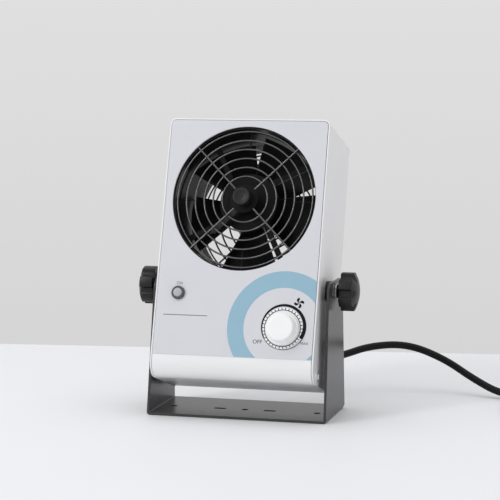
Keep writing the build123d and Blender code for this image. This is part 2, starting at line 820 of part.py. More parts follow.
for outward, hand, pull, turn in ((-1, "left", left_pull, left_knob_turn), (1, "right", 0.0, 0.0)):
    washer_start = arm_outer - pull + body_gap
    hub_start = washer_start + washer_thickness
    head_start = hub_start + knob_hub_length
    head_end = head_start + knob_length
    stud_end = head_start + stud_in_knob
    knob_plane = Plane(origin=pivot, x_dir=(0, 1, 0), z_dir=(outward, 0, 0))
    knob_axis = Axis(pivot, (outward, 0, 0))
    with BuildPart() as clamp_knob:
        with BuildSketch(knob_plane.offset(hub_start)):
            Circle(knob_hub_radius)
        extrude(amount=knob_hub_length)
        with BuildSketch(knob_plane.offset(head_start)):
            Circle(knob_radius)
            with PolarLocations(groove_centre, knob_lobes, start_angle=turn):
                Circle(knob_groove_radius, mode=Mode.SUBTRACT)
        extrude(amount=knob_length)
        chamfer(clamp_knob.faces().sort_by(knob_axis)[-1].edges(), knob_edge)
        with BuildSketch(knob_plane.offset(head_end)):
            Circle(knob_dome_radius)
        extrude(amount=knob_dome_rise, taper=45)
        with BuildSketch(knob_plane.offset(hub_start)):
            Circle(stud_radius + seat_gap)
        extrude(amount=stud_end - hub_start, mode=Mode.SUBTRACT)
    save(clamp_knob, f"{hand}_clamp_knob")
    with BuildPart() as clamp_stud:
        with BuildSketch(knob_plane.offset(pivot_nut_end)):
            Circle(stud_radius)
        extrude(amount=stud_end - pivot_nut_end)
    save(clamp_stud, f"{hand}_clamp_stud")
    with BuildPart() as clamp_washer:
        with BuildSketch(knob_plane.offset(washer_start)):
            Circle(washer_radius)
            Circle(stud_radius + seat_gap, mode=Mode.SUBTRACT)
        extrude(amount=washer_thickness)
    save(clamp_washer, f"{hand}_clamp_washer")

# Lower bay: high-voltage module, control board and what holds them
bay_floor = Plane(origin=facing.from_local_coords((0, floor_inner, 0)), x_dir=across_dir, z_dir=up_dir)
module_tabs = [(module_centre[0], module_centre[1] + a * (module_size[1] + module_tab) / 2) for a in (-1, 1)]
board_reach = (board_size[0] / 2 - board_hole_inset, board_size[1] / 2 - board_hole_inset)
board_holes = [
    (board_centre[0] + a * board_reach[0], board_centre[1] + b * board_reach[1])
    for a in (-1, 1)
    for b in (-1, 1)
]
board_bottom = standoff_height
board_top = standoff_height + board_size[2]

with BuildPart() as high_voltage_module:
    with BuildSketch(bay_floor):
        with Locations(module_centre):
            RectangleRounded(module_size[0], module_size[1], fan_corner)
    extrude(amount=module_size[2])
    with BuildSketch(bay_floor):
        with Locations(*module_tabs):
            Rectangle(2 * module_tab, module_tab)
    extrude(amount=module_tab_thickness)
    with BuildSketch(bay_floor):
        with Locations(*module_tabs):
            Circle(screw_radius + hole_gap)
    extrude(amount=module_tab_thickness, mode=Mode.SUBTRACT)
save(high_voltage_module, "high_voltage_module")

with BuildPart() as module_screws:
    with BuildSketch(bay_floor.offset(module_tab_thickness)):
        with Locations(*module_tabs):
            Circle(screw_head_radius)
    extrude(amount=screw_head_height)
    with BuildSketch(bay_floor):
        with Locations(*module_tabs):
            Circle(screw_radius)
    extrude(amount=module_tab_thickness)
save(module_screws, "module_screws")

with BuildPart() as board_standoffs:
    with BuildSketch(bay_floor):
        with Locations(*board_holes):
            Circle(standoff_radius)
    extrude(amount=standoff_height)
save(board_standoffs, "board_standoffs")

with BuildPart() as control_board:
    with BuildSketch(bay_floor.offset(board_bottom)):
        with Locations(board_centre):
            Rectangle(board_size[0], board_size[1])
        with Locations(*board_holes):
            Circle(screw_radius + hole_gap, mode=Mode.SUBTRACT)
    extrude(amount=board_size[2])
save(control_board, "control_board")

with BuildPart() as board_screws:
    with BuildSketch(bay_floor.offset(board_top)):
        with Locations(*board_holes):
            Circle(screw_head_radius)
    extrude(amount=screw_head_height)
    with BuildSketch(bay_floor.offset(board_bottom)):
        with Locations(*board_holes):
            Circle(screw_radius)
    extrude(amount=board_size[2])
save(board_screws, "board_screws")

transformer = (board_size[0] / 3, 18.0, 16.0)
terminal = (board_size[0] / 4, 9.0, 10.0)
capacitor_radius = 5.0
capacitor_height = 15.0

with BuildPart() as board_parts:
    with BuildSketch(bay_floor.offset(board_top)):
        with Locations((board_centre[0] - board_size[0] / 5, board_centre[1])):
            Rectangle(transformer[0], transformer[1])
    extrude(amount=transformer[2])
    with BuildSketch(bay_floor.offset(board_top)):
        with Locations((board_centre[0] + board_size[0] / 5, board_centre[1] + board_size[1] / 3)):
            Rectangle(terminal[0], terminal[1])
    extrude(amount=terminal[2])
    with BuildSketch(bay_floor.offset(board_top)):
        with Locations((board_centre[0] + board_size[0] / 5, board_centre[1] - board_size[1] / 6)):
            Circle(capacitor_radius)
    extrude(amount=capacitor_height)
save(board_parts, "board_parts")

# Lead from the module's top, past the indicator, to the emitter ring
lead_across = lamp_across + lamp_barrel_radius + lead_clearance + lead_radius
lead_low = floor_inner + module_size[2]
lead_high = fan_height - fan_side / 2
lead_back = -module_centre[1] / 2
lead_middle = (lead_low + lead_high) / 2
lead_bend = 4 * lead_radius

with BuildPart() as emitter_lead:
    with BuildLine(section_at(lead_across, 0, 0)) as lead_path:
        FilletPolyline(
            facing_at(lead_across, 0, 0).from_local_coords((0, lead_low, lead_back)),
            facing_at(lead_across, 0, 0).from_local_coords((0, lead_middle, lead_back)),
            facing_at(lead_across, 0, 0).from_local_coords((0, lead_middle, needle_forward)),
            facing_at(lead_across, 0, 0).from_local_coords((0, lead_high, needle_forward)),
            radius=lead_bend,
        )
    with BuildSketch(Plane(origin=lead_path.line @ 0, z_dir=lead_path.line % 0)):
        Circle(lead_radius)
    sweep(path=lead_path.line)
save(emitter_lead, "emitter_lead")

# Cable gland in the rear panel
gland_tip = -rear_reach - gland_reach
gland_cone = -rear_reach - gland_flange_thickness

with BuildPart() as cable_gland:
    with BuildSketch(facing_at(gland_across, gland_up, -rear_reach)):
        RegularPolygon(gland_flange_radius, 6)
    extrude(amount=-gland_flange_thickness)
    with BuildSketch(facing_at(gland_across, gland_up, gland_cone)):
        Circle(gland_root_radius)
    with BuildSketch(facing_at(gland_across, gland_up, gland_tip)):
        Circle(gland_tip_radius)
    loft()
    with BuildSketch(facing_at(gland_across, gland_up, -rear_reach)):
        Circle(gland_thread_radius)
    extrude(amount=gland_inner_length)
save(cable_gland, "cable_gland")

with BuildPart() as gland_nut:
    with BuildSketch(facing_at(gland_across, gland_up, -rear_inner)):
        RegularPolygon(hexagon(gland_nut_flats), 6)
        Circle(gland_thread_radius + seat_gap, mode=Mode.SUBTRACT)
    extrude(amount=gland_nut_height)
save(gland_nut, "gland_nut")

# Mains lead: from the gland back, round to the right and down to the floor, then into its coil
cord_radius = cord_diameter / 2
coil_radius = coil_across_diameters * cord_diameter / 2
coil_half_width = coil_turns_wide * cord_diameter / 2
coil_height = coil_turns_high * cord_diameter
coil_turn_radius = coil_radius + coil_half_width - cord_radius
lying = cord_radius + tie_thickness
cord_start = facing.from_local_coords((gland_across, gland_up, gland_tip))
cord_entry = Vector(coil_centre[0], coil_centre[1] + coil_turn_radius, lying)
cord_route = [
    cord_start,
    cord_start - front_dir * 20,
    Vector(gland_across + 8, 98, 34),
    Vector(gland_across + 29, 118, 40),
    Vector(gland_across + 60, 129, 41),
    Vector(gland_across + 93, 125, 30),
    Vector(gland_across + 120, 117, 15),
    Vector(gland_across + 146, 110, lying),
    Vector(gland_across + 172, 107, lying),
    cord_entry,
]


def route_radii(route):
    radii = []
    for before, here, after in zip(route, route[1:], route[2:]):
        turn = radians((here - before).get_angle(after - here))
        shorter = min((here - before).length, (after - here).length)
        radii.append(0.45 * shorter / tan(turn / 2))
    return radii


cord_radii = route_radii(cord_route)
print("cord radii", [round(radius, 1) for radius in cord_radii])

with BuildPart() as power_cord:
    with BuildLine() as cord_path:
        FilletPolyline(*cord_route, radius=cord_radii)
    with BuildSketch(Plane(origin=cord_start, z_dir=-front_dir)):
        Circle(cord_radius)
    sweep(path=cord_path.line)
save(power_cord, "power_cord")
cord_length = cord_path.wire().length
print("cord tube", cord_length, power_cord.part.volume / (pi * cord_radius**2 * cord_length))

with BuildPart() as cord_coil:
    with BuildSketch(Plane(origin=(*coil_centre, 0), x_dir=(1, 0, 0), z_dir=(0, -1, 0))):
        with Locations((coil_radius, tie_thickness + coil_height / 2)):
            RectangleRounded(2 * coil_half_width, coil_height, cord_radius * 0.8)
    revolve(axis=Axis((*coil_centre, 0), (0, 0, 1)))
save(cord_coil, "cord_coil")
print("coil length", 2 * pi * coil_radius * coil_turns_wide * coil_turns_high)

with BuildPart() as coil_tie:
    with BuildSketch(Plane(origin=(*coil_centre, 0), x_dir=(1, 0, 0), z_dir=(0, -1, 0))):
        with Locations((-coil_radius, tie_thickness + coil_height / 2)):
            Rectangle(2 * (coil_half_width + tie_thickness), coil_height + 2 * tie_thickness)
    extrude(amount=tie_width / 2, both=True)
    with BuildSketch(Plane(origin=(*coil_centre, 0), x_dir=(1, 0, 0), z_dir=(0, -1, 0))):
        with Locations((-coil_radius, tie_thickness + coil_height / 2)):
            Rectangle(2 * coil_half_width, coil_height)
    revolve(axis=Axis((*coil_centre, 0), (0, 0, 1)), mode=Mode.SUBTRACT)
save(coil_tie, "coil_tie")

# Plug beside the coil, on the end of the outermost upper turn
plug_middle = plug_height / 2
tail_across = coil_centre[0] + coil_turn_radius
tail_start = coil_centre[1]
neck_start = tail_start - plug_gap
plug_back = neck_start - plug_neck_length
plug_plane = Plane(origin=(tail_across, plug_back, plug_middle), x_dir=(1, 0, 0), z_dir=(0, -1, 0))

with BuildPart() as cord_tail:
    with BuildSketch(plug_plane.offset(-plug_neck_length)):
        Circle(cord_radius)
    extrude(amount=-plug_gap)
save(cord_tail, "cord_tail")

with BuildPart() as plug_body:
    with BuildSketch(plug_plane):
        RectangleRounded(plug_width, plug_height, plug_corner)
    extrude(amount=plug_length)
    with BuildSketch(plug_plane.offset(-plug_neck_length)):
        Circle(plug_neck_radius)
    extrude(amount=plug_neck_length)
    pin_centres = [(-pin_spacing / 2, 0), (pin_spacing / 2, 0)]
    with BuildSketch(plug_plane.offset(plug_length)):
        with Locations(*pin_centres):
            Circle(pin_radius + seat_gap)
    extrude(amount=-pin_length / 2, mode=Mode.SUBTRACT)
save(plug_body, "plug_body")

with BuildPart() as plug_pins:
    with BuildSketch(plug_plane.offset(plug_length - pin_length / 2)):
        with Locations(*pin_centres):
            Circle(pin_radius)
    extrude(amount=1.5 * pin_length)
save(plug_pins, "plug_pins")
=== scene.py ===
import json
from math import cos, pi, radians, sin, tau

import bmesh
import bpy
import numpy as np
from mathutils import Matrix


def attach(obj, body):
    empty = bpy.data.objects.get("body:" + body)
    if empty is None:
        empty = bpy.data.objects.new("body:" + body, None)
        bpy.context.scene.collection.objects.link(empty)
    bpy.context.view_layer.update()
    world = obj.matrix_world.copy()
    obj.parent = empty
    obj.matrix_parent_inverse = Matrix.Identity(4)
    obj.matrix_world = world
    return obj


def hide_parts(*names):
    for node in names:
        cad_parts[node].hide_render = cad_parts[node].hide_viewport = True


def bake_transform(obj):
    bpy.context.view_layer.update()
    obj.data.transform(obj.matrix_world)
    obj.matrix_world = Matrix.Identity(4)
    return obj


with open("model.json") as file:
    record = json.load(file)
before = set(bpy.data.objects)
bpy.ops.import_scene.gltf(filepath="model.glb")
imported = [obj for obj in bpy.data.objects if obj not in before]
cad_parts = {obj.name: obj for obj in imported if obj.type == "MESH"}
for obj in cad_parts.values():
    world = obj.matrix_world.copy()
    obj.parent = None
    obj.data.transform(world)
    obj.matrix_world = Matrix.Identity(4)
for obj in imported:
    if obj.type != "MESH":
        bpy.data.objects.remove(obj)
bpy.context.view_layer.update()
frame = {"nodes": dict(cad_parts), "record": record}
nodes = frame["nodes"]
scene = bpy.context.scene
print("frame loaded:", len(nodes), "solids")

# camera: found by matching the bracket's base, the housing edges and the knobs with the picture
cameraSetup = {
    "place": (0.3892, -1.4552, 0.3056), "pitch": 83.455, "turn": 14.867,
    "lens": 134.36, "sensor": 36.0, "clipEnd": 20,  # lens and sensor in millimetres
}
cameraData = bpy.data.cameras.new("cameraData")
cameraData.lens = cameraSetup["lens"]
cameraData.sensor_width = cameraSetup["sensor"]
cameraData.clip_end = cameraSetup["clipEnd"]
camera = bpy.data.objects.new("camera", cameraData)
camera.location = cameraSetup["place"]
camera.rotation_euler = (radians(cameraSetup["pitch"]), 0, radians(cameraSetup["turn"]))
scene.collection.objects.link(camera)
scene.camera = camera
print("camera set")

# tilted panel: across to the right, up along the panel, forward out of it, all from the pivot
panelSetup = {"tilt": 17.5, "pivotHeight": 0.1016, "fanUp": 0.068, "face": 0.0313}
panelTilt = radians(panelSetup["tilt"])
pivotPoint = np.array((0, 0, panelSetup["pivotHeight"]))
acrossDir = np.array((1.0, 0, 0))
upDir = np.array((0, sin(panelTilt), cos(panelTilt)))
frontDir = np.array((0, -cos(panelTilt), sin(panelTilt)))


def panelPlace(across, up, forward):
    # pivot plus across, up and forward steps along the three panel directions
    across, up, forward = np.broadcast_arrays(across, up, forward)
    return pivotPoint + across[..., None] * acrossDir + up[..., None] * upDir + forward[..., None] * frontDir


def fanPlace(across, up, forward):
    # the same steps from the fan's middle
    return panelPlace(across, up + panelSetup["fanUp"], forward)


def gridQuads(rows, columns, closeRows=False, closeColumns=False):
    # each cell joins its row and column to the next ones, wrapping round where the grid is closed
    row = np.arange(rows if closeRows else rows - 1)
    column = np.arange(columns if closeColumns else columns - 1)
    r, c = np.meshgrid(row, column, indexing="ij")
    rNext, cNext = (r + 1) % rows, (c + 1) % columns
    corners = (r * columns + c, rNext * columns + c, rNext * columns + cNext, r * columns + cNext)
    return np.stack(corners, -1).reshape(-1, 4)


def shellsToMesh(name, shells, sharp=35, outward=True, merge=1e-6, thin=1e-7):
    # all grids in one mesh, doubles at poles and seams merged, faces turned outwards
    flats = [grid.reshape(-1, 3) for grid, cells in shells]
    starts = np.cumsum([0] + [len(flat) for flat in flats[:-1]])
    points = np.concatenate(flats)
    quads = np.concatenate([cells + start for (grid, cells), start in zip(shells, starts)])
    mesh = bpy.data.meshes.new(name)
    mesh.vertices.add(len(points))
    mesh.vertices.foreach_set("co", points.astype(np.float32).ravel())
    mesh.loops.add(quads.size)
    mesh.loops.foreach_set("vertex_index", quads.astype(np.int32).ravel())
    mesh.polygons.add(len(quads))
    mesh.polygons.foreach_set("loop_start", np.arange(0, quads.size, 4, dtype=np.int32))
    mesh.polygons.foreach_set("loop_total", np.full(len(quads), 4, np.int32))
    mesh.update(calc_edges=True)
    bm = bmesh.new()
    bm.from_mesh(mesh)
    bmesh.ops.remove_doubles(bm, verts=bm.verts, dist=merge)
    bmesh.ops.dissolve_degenerate(bm, edges=bm.edges, dist=thin)
    if outward:
        bmesh.ops.recalc_face_normals(bm, faces=bm.faces)
    bm.to_mesh(mesh)
    bm.free()
    mesh.shade_smooth()
    mesh.set_sharp_from_angle(angle=radians(sharp))
    return mesh


def addPiece(name, mesh, material, body, stands=()):
    piece = bpy.data.objects.new(name, mesh)
    scene.collection.objects.link(piece)
    mesh.materials.clear()
    mesh.materials.append(material)
    if body:
        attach(piece, body)
    if stands:
        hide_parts(*stands)
    return piece


def latheShell(profile, turns=96):
    # each profile point (radius, height) swept round the fan's axis by cosine and sine of the angle
    profile = np.array(profile, float)
    angle = np.linspace(0, tau, turns, endpoint=False)
    radius, height = profile[:, :1], profile[:, 1:]
    points = fanPlace(radius * np.cos(angle), radius * np.sin(angle), height + 0 * angle)
    return points, gridQuads(len(profile), turns, closeColumns=True)


def roundedStep(start, corner, end, size, count=6):
    # quarter bend between two straight runs: a quadratic curve pulled to the corner
    start, corner, end = (np.array(p, float) for p in (start, corner, end))
    first = corner + (start - corner) / np.linalg.norm(start - corner) * size
    last = corner + (end - corner) / np.linalg.norm(end - corner) * size
    t = np.linspace(0, 1, count)[:, None]
    return ((1 - t) ** 2 * first + 2 * t * (1 - t) * corner + t**2 * last).tolist()


# finishes: every one reads Object coordinates in metres
noiseLow, noiseMiddle, noiseHigh = 0.3, 0.5, 0.7  # most of a noise lies between low and high


def newFinish(name):
    material = bpy.data.materials.new(name)
    material.use_nodes = True
    tree = material.node_tree
    shader = next(n for n in tree.nodes if n.type == "BSDF_PRINCIPLED")
    coords = tree.nodes.new("ShaderNodeTexCoord")
    return material, tree, shader, coords.outputs["Object"]


def addNoise(tree, coords, scale, detail=3.0):
    noise = tree.nodes.new("ShaderNodeTexNoise")
    noise.inputs["Scale"].default_value = scale
    noise.inputs["Detail"].default_value = detail
    tree.links.new(coords, noise.inputs["Vector"])
    return noise.outputs["Fac"]


def addRamp(tree, source, stops):
    ramp = tree.nodes.new("ShaderNodeValToRGB")
    for element, (place, colour) in zip(ramp.color_ramp.elements, (stops[0], stops[-1])):
        element.position = place
        element.color = (*colour, 1)
    for place, colour in stops[1:-1]:
        ramp.color_ramp.elements.new(place).color = (*colour, 1)
    tree.links.new(source, ramp.inputs["Fac"])
    return ramp.outputs["Color"]


def addRange(tree, source, low, high, start=noiseLow, stop=noiseHigh):
    # start to stop of the source becomes low to high
    node = tree.nodes.new("ShaderNodeMapRange")
    node.inputs["From Min"].default_value = start
    node.inputs["From Max"].default_value = stop
    node.inputs["To Min"].default_value = low
    node.inputs["To Max"].default_value = high
    tree.links.new(source, node.inputs["Value"])
    return node.outputs["Result"]


def addBump(tree, shader, height, depth, edge=0.0):
    # relief in metres; edge is the soft radius that sheet and moulded corners show
    bump = tree.nodes.new("ShaderNodeBump")
    bump.inputs["Strength"].default_value = 1.0
    bump.inputs["Distance"].default_value = depth
    tree.links.new(height, bump.inputs["Height"])
    if edge:
        bevel = tree.nodes.new("ShaderNodeBevel")
        bevel.samples = 6
        bevel.inputs["Radius"].default_value = edge
        tree.links.new(bevel.outputs["Normal"], bump.inputs["Normal"])
    tree.links.new(bump.outputs["Normal"], shader.inputs["Normal"])


def makeFinish(name, tone, shift, patch, grain, depth, rough, edge=0.0, metallic=0.0, **sockets):
    # tone varies by shift over patches, grain is the relief's fineness and depth its height
    material, tree, shader, coords = newFinish(name)
    dark = tuple(max(0.0, c * (1 - shift)) for c in tone)
    light = tuple(min(1.0, c * (1 + shift)) for c in tone)
    broad = addNoise(tree, coords, patch, 4.0)
    fine = addNoise(tree, coords, grain)
    colour = addRamp(tree, broad, ((noiseLow, dark), (noiseMiddle, tone), (noiseHigh, light)))
    tree.links.new(colour, shader.inputs["Base Color"])
    tree.links.new(addRange(tree, fine, *rough), shader.inputs["Roughness"])
    addBump(tree, shader, fine, depth, edge)
    shader.inputs["Metallic"].default_value = metallic
    for socket, value in sockets.items():
        shader.inputs[socket.replace("_", " ")].default_value = value
    return material


finishTable = {
    "bracketPaint": dict(tone=(0.032, 0.032, 0.034), shift=0.12, patch=60, grain=1500, depth=0.00003,
                         rough=(0.24, 0.34), edge=0.0006),
    "housingPaint": dict(tone=(0.84, 0.84, 0.84), shift=0.010, patch=25, grain=1100, depth=0.00001,
                         rough=(0.16, 0.24), edge=0.0005),
    "labelFilm": dict(tone=(0.648, 0.648, 0.682), shift=0.010, patch=40, grain=3500, depth=0.000012,
                      rough=(0.50, 0.62), edge=0.0002),
    "guardWire": dict(tone=(0.140, 0.140, 0.142), shift=0.12, patch=90, grain=900, depth=0.000004,
                      rough=(0.14, 0.24), metallic=1.0),
    "blackPlastic": dict(tone=(0.010, 0.010, 0.011), shift=0.12, patch=80, grain=2600, depth=0.00003,
                         rough=(0.28, 0.40), edge=0.0004, Specular_IOR_Level=0.32),
    "fanCasting": dict(tone=(0.006, 0.006, 0.006), shift=0.16, patch=70, grain=1400, depth=0.00005,
                       rough=(0.34, 0.48), edge=0.0004, Specular_IOR_Level=0.12),
    "whitePlastic": dict(tone=(0.90, 0.90, 0.90), shift=0.010, patch=60, grain=2400, depth=0.00001,
                         rough=(0.28, 0.36), edge=0.0003),
    "lensPlastic": dict(tone=(0.42, 0.44, 0.46), shift=0.06, patch=400, grain=900, depth=0.00002,
                        rough=(0.12, 0.20), edge=0.0003),
    "brightMetal": dict(tone=(0.68, 0.68, 0.67), shift=0.05, patch=120, grain=1600, depth=0.00001,
                        rough=(0.20, 0.32), edge=0.0002, metallic=1.0),
    "darkMetal": dict(tone=(0.11, 0.11, 0.115), shift=0.12, patch=140, grain=1800, depth=0.00002,
                      rough=(0.28, 0.40), edge=0.0003, metallic=1.0),
    # needles: bright steel painted near black, a painted shade for the dark fan duct round them
    "needleSteel": dict(tone=(0.022, 0.022, 0.023), shift=0.10, patch=200, grain=1800, depth=0.000008,
                        rough=(0.30, 0.42), metallic=1.0),
    "bossPlastic": dict(tone=(0.006, 0.006, 0.007), shift=0.14, patch=80, grain=2600, depth=0.00003,
                        rough=(0.40, 0.54), Specular_IOR_Level=0.10),
    "brassMetal": dict(tone=(0.62, 0.44, 0.16), shift=0.06, patch=140, grain=1500, depth=0.00001,
                       rough=(0.22, 0.34), edge=0.0002, metallic=1.0),
    "cordJacket": dict(tone=(0.008, 0.008, 0.009), shift=0.15, patch=70, grain=2000, depth=0.00004,
                       rough=(0.36, 0.50), Specular_IOR_Level=0.14),
    "redLead": dict(tone=(0.42, 0.022, 0.018), shift=0.08, patch=120, grain=1800, depth=0.00002,
                    rough=(0.34, 0.46)),
    "printBlue": dict(tone=(0.272, 0.457, 0.565), shift=0.015, patch=60, grain=3500, depth=0.000008,
                      rough=(0.46, 0.58)),
    "printBlack": dict(tone=(0.008, 0.009, 0.014), shift=0.10, patch=120, grain=3500, depth=0.000008,
                       rough=(0.46, 0.58), Specular_IOR_Level=0.12),
    "printWhite": dict(tone=(0.86, 0.86, 0.86), shift=0.008, patch=120, grain=3500, depth=0.000008,
                       rough=(0.45, 0.58)),
    "printGrey": dict(tone=(0.13, 0.13, 0.16), shift=0.05, patch=120, grain=3500, depth=0.000008,
                      rough=(0.45, 0.58)),
}
finishes = {name: makeFinish(name, **values) for name, values in finishTable.items()}


laminateSetup = {
    "scale": 160, "trackWidth": 0.06, "grain": 1200, "rough": (0.30, 0.42), "depth": 0.00003,
    "board": (0.015, 0.11, 0.05, 1), "boardToo": (0.02, 0.14, 0.06, 1), "track": (0.05, 0.24, 0.10, 1),
}


def makeLaminate():
    # green board with lighter copper tracks: the joints of a brick pattern
    material, tree, shader, coords = newFinish("boardLaminate")
    brick = tree.nodes.new("ShaderNodeTexBrick")
    brick.inputs["Scale"].default_value = laminateSetup["scale"]
    brick.inputs["Mortar Size"].default_value = laminateSetup["trackWidth"]
    brick.inputs["Color1"].default_value = laminateSetup["board"]
    brick.inputs["Color2"].default_value = laminateSetup["boardToo"]
    brick.inputs["Mortar"].default_value = laminateSetup["track"]
    tree.links.new(coords, brick.inputs["Vector"])
    tree.links.new(brick.outputs["Color"], shader.inputs["Base Color"])
    fine = addNoise(tree, coords, laminateSetup["grain"])
    tree.links.new(addRange(tree, fine, *laminateSetup["rough"]), shader.inputs["Roughness"])
    addBump(tree, shader, brick.outputs["Fac"], laminateSetup["depth"])
    return material


def makeBanded(name, tones, scale, direction, depth, rough, metallic=0.0):
    # parallel bands along one axis: windings of a stator, fibres of a brush
    material, tree, shader, coords = newFinish(name)
    wave = tree.nodes.new("ShaderNodeTexWave")
    wave.bands_direction = direction
    wave.inputs["Scale"].default_value = scale
    wave.inputs["Distortion"].default_value = 1.2
    wave.inputs["Detail"].default_value = 2.0
    tree.links.new(coords, wave.inputs["Vector"])
    colour = addRamp(tree, wave.outputs["Fac"], ((0.1, tones[0]), (0.9, tones[1])))
    tree.links.new(colour, shader.inputs["Base Color"])
    fine = addNoise(tree, coords, scale * 3)
    tree.links.new(addRange(tree, fine, *rough), shader.inputs["Roughness"])
    addBump(tree, shader, wave.outputs["Fac"], depth)
    shader.inputs["Metallic"].default_value = metallic
    return material


bandedTable = {
    "statorIron": dict(tones=((0.10, 0.05, 0.02), (0.36, 0.17, 0.06)), scale=220, direction="Y",
                       depth=0.0001, rough=(0.32, 0.45), metallic=0.6),
    "brushFibre": dict(tones=((0.05, 0.045, 0.04), (0.20, 0.18, 0.15)), scale=700, direction="X",
                       depth=0.0002, rough=(0.55, 0.70)),
}
finishes["boardLaminate"] = makeLaminate()
finishes.update({name: makeBanded(name, **values) for name, values in bandedTable.items()})
# the emitter needles take the near-black steel that is painted shade
ownFinish = {"emitter_needles": "needleSteel", "guard_bush": "blackPlastic"}  # unlike their slots


def slotFinish(slot):
    # a slot's finish has the slot's words joined into one name
    first, *others = slot.split("_")
    return first + "".join(word.capitalize() for word in others)


for entry in frame["record"]["subparts"]:
    data = nodes[entry["node"]].data
    data.materials.clear()
    data.materials.append(finishes[ownFinish.get(entry["node"], slotFinish(entry["material_slot"]))])
print("finishes made:", len(finishes))

# mains lead: the route's listed points, some of them moved, then the coil's turns, then its straight tail
cordSetup = {
    "diameter": 0.0062, "length": 1.50, "coilCentre": (0.2551, 0.0629),
    "turns": (0.0310, 0.0372, 0.0434), "layers": (0.0037, 0.0099),  # radii from inner to outer, heights
    "easeFrom": 0.6, "perTurn": 16, "around": 18, "resolution": 8,
}
cordRoute = [
    (0.050, 0.05508, 0.04019), (0.050, 0.07416, 0.03418), (0.058, 0.098, 0.0318), (0.079, 0.118, 0.0382),
    (0.110, 0.129, 0.0396), (0.143, 0.125, 0.0288), (0.170, 0.116, 0.0138), (0.196, 0.104, 0.0037),
    (0.222, 0.107, 0.0037),
]
cordTail = [(0.2985, 0.052, 0.0100), (0.2985, 0.0369, 0.0100)]


def coilPoints():
    # turns run clockwise from the far side: inwards on the lower layer, up, then outwards on the upper one
    inner, middle, outer = cordSetup["turns"]
    low, high = cordSetup["layers"]
    radii = (outer, middle, inner, inner, middle, outer)
    heights = (low, low, low, high, high, high)
    count = cordSetup["perTurn"]
    easeFrom = cordSetup["easeFrom"]
    points = []
    for turn in range(len(radii)):
        last = turn + 1 == len(radii)
        nextTurn = turn if last else turn + 1
        for step in range(count // 4 + 1 if last else count):  # the last turn ends after a quarter
            share = step / count
            ease = max(0.0, (share - easeFrom) / (1 - easeFrom))
            radius = radii[turn] + (radii[nextTurn] - radii[turn]) * ease
            height = heights[turn] + (heights[nextTurn] - heights[turn]) * ease
            angle = pi / 2 - tau * share
            x, y = cordSetup["coilCentre"]
            points.append((x + radius * cos(angle), y + radius * sin(angle), height))
    return points


cordPoints = cordRoute + coilPoints() + cordTail
cordCurve = bpy.data.curves.new("cordCurve", "CURVE")
cordCurve.dimensions = "3D"
cordCurve.resolution_u = cordSetup["resolution"]
cordSpline = cordCurve.splines.new("NURBS")
cordSpline.points.add(len(cordPoints) - 1)
cordWeights = np.ones((len(cordPoints), 1))
cordSpline.points.foreach_set("co", np.hstack((np.array(cordPoints), cordWeights)).ravel())
cordSpline.order_u = 3
cordSpline.use_endpoint_u = True
cordLine = bpy.data.objects.new("cordLine", cordCurve)
scene.collection.objects.link(cordLine)
bpy.context.view_layer.update()
cordTrace = bpy.data.meshes.new_from_object(cordLine)
cordPath = np.empty(len(cordTrace.vertices) * 3, np.float32)
cordTrace.vertices.foreach_get("co", cordPath)
cordPath = cordPath.reshape(-1, 3).astype(float)
bpy.data.objects.remove(cordLine)
bpy.data.meshes.remove(cordTrace)
cordMeasure = np.linalg.norm(np.diff(cordPath, axis=0), axis=1).sum()
print("cord line points:", len(cordPath), "length", cordMeasure)


def tubeShell(path, radius, around):
    # a circle carried along the path: side is the level cross of the tangent, top completes the frame
    tangent = np.gradient(path, axis=0)
    tangent /= np.linalg.norm(tangent, axis=1, keepdims=True)
    across = np.cross(tangent, (0, 0, 1.0))
    across /= np.linalg.norm(across, axis=1, keepdims=True)
    top = np.cross(across, tangent)
    angle = np.linspace(0, tau, around, endpoint=False)[None, :, None]
    rings = path[:, None] + radius * (np.cos(angle) * across[:, None] + np.sin(angle) * top[:, None])
    ends = [np.repeat(path[i][None, None], around, 1) for i in (0, -1)]
    points = np.concatenate((ends[0], rings, ends[1]))
    return points, gridQuads(len(points), around, closeColumns=True)


cordMesh = shellsToMesh("mainsLead", [tubeShell(cordPath, cordSetup["diameter"] / 2, cordSetup["around"])])
cordSolids = ("power_cord", "cord_coil", "cord_tail")
mainsLead = addPiece("mainsLead", cordMesh, finishes["cordJacket"], None, cordSolids)
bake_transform(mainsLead)  # world transform baked into the mesh
print("lead laid")

# wire guards: rings are tori, spokes straight rods, with eyelets at the corners and a disc in the middle
guardSetup = {
    "front": 0.0289, "rear": -0.0499, "ringWire": 0.00075, "spokeWire": 0.00078,
    "firstRing": 0.0188, "ringStep": 0.0075, "rings": 6, "behind": 0.0014,  # rings lie behind the spokes
    "disc": 0.0116, "discHalf": 0.0008, "discRound": 0.0005, "bore": 0.0043, "overlap": 0.0006,
    "corner": 0.0525, "eyelet": 0.0031, "eyeletShare": 0.8,
}


def ringShell(radius, wire, forward, middle=(0, 0), around=144, across=14):
    # torus: ring angle u, wire angle v, distance from the axis radius + wire cos v, height wire sin v
    u = np.linspace(0, tau, around, endpoint=False)[:, None]
    v = np.linspace(0, tau, across, endpoint=False)[None]
    reach = radius + wire * np.cos(v)
    height = forward + wire * np.sin(v) + 0 * u
    points = fanPlace(reach * np.cos(u) + middle[0], reach * np.sin(u) + middle[1], height)
    return points, gridQuads(around, across, True, True)


def rodShell(start, end, wire, angle, forward, across=14):
    # straight rod along a radius of the fan, its ends closed by a zero radius
    along = np.array((start, start, end, end))[:, None]
    thick = np.array((0, wire, wire, 0))[:, None]
    v = np.linspace(0, tau, across, endpoint=False)[None]
    sideways = thick * np.cos(v)
    right = along * cos(angle) - sideways * sin(angle)
    up = along * sin(angle) + sideways * cos(angle)
    points = fanPlace(right, up, forward + thick * np.sin(v))
    return points, gridQuads(along.size, across, closeColumns=True)


